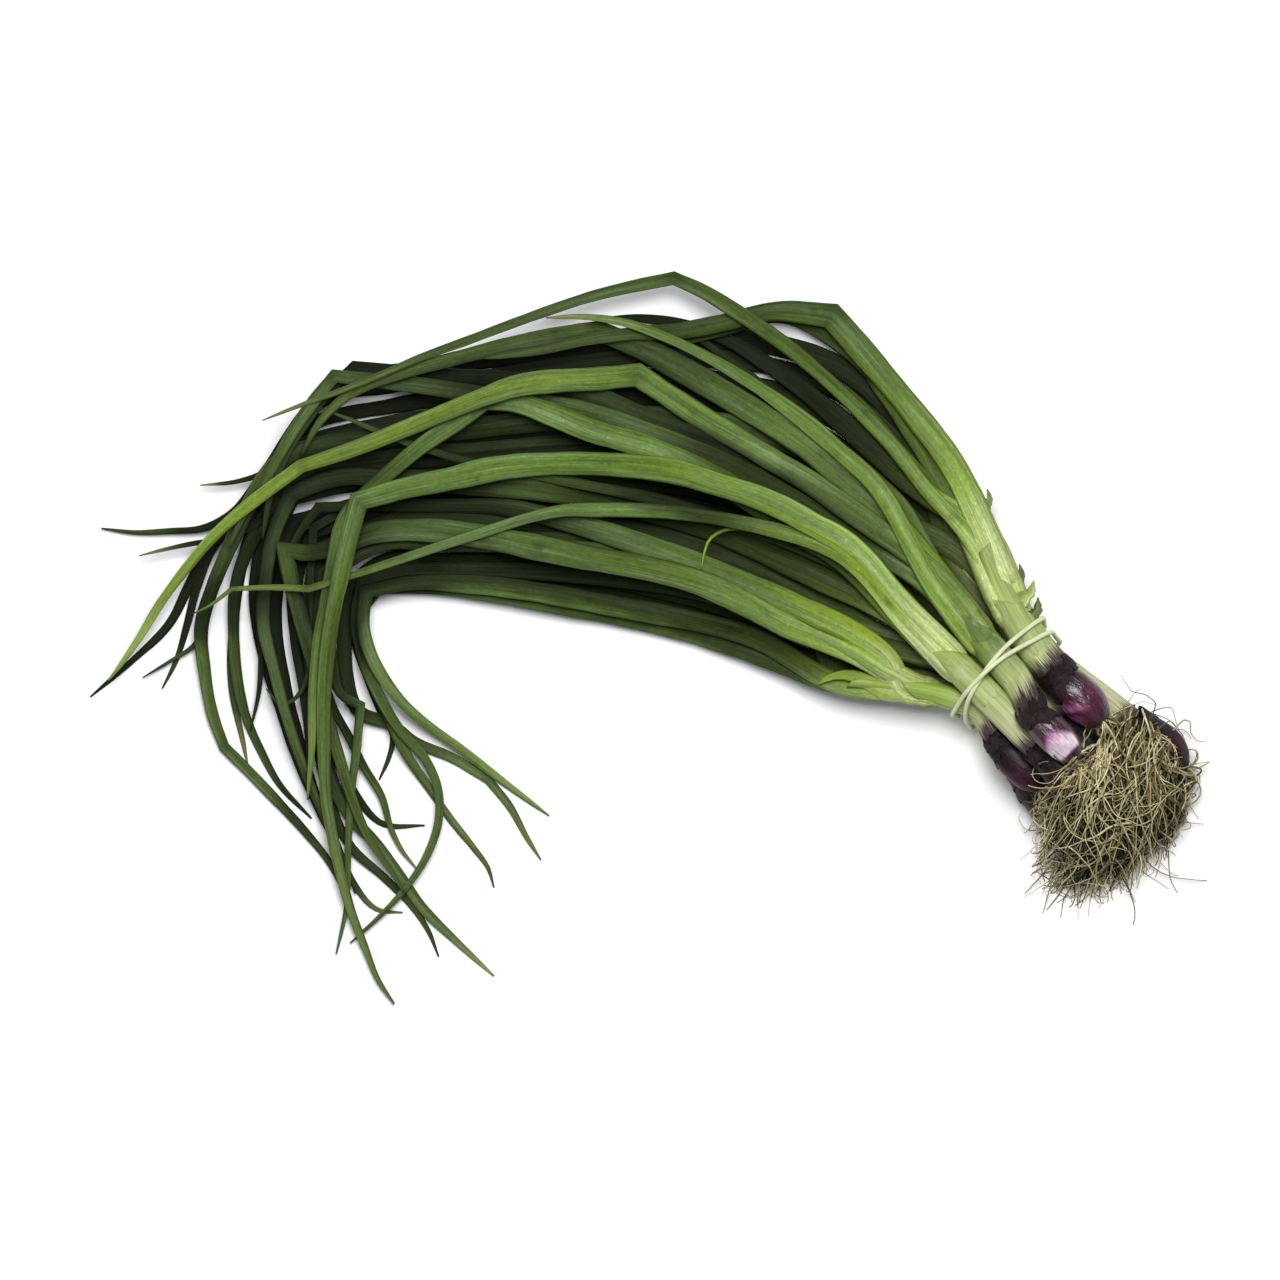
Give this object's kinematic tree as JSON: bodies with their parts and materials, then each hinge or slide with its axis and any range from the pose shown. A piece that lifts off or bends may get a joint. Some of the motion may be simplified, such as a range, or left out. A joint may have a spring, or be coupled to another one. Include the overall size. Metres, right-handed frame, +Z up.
{
  "type": "spring onion bunch",
  "caption": "Bunch of red spring onions lying on its side: long green leaves, purple bulbs, a mat of roots and a doubled rubber band round the stems.",
  "frame": {"origin": "on the table, under the middle of the bunch's plan", "axes": "+X from the leaf tips towards the roots, +Z up from the table"},
  "size_m": [0.3999, 0.2656, 0.0516],
  "materials": {
    "leaf": "smooth waxy green leaf that pales to white at the stem",
    "bulb": "glossy purple skin",
    "roots": "dry tan fibres",
    "band": "pale smooth rubber"
  },
  "bodies": {
    "root": {"onion_1_leafy_stem": "leaf", "onion_1_bulb": "bulb", "onion_2_leafy_stem": "leaf", "onion_2_bulb": "bulb", "onion_3_leafy_stem": "leaf", "onion_3_bulb": "bulb", "onion_4_leafy_stem": "leaf", "onion_4_bulb": "bulb", "onion_5_leafy_stem": "leaf", "onion_5_bulb": "bulb", "onion_6_leafy_stem": "leaf", "onion_6_bulb": "bulb", "onion_7_leafy_stem": "leaf", "onion_7_bulb": "bulb", "onion_8_leafy_stem": "leaf", "onion_8_bulb": "bulb", "root_tangle": "roots", "rubber_band": "band"}
  },
  "joints": []
}
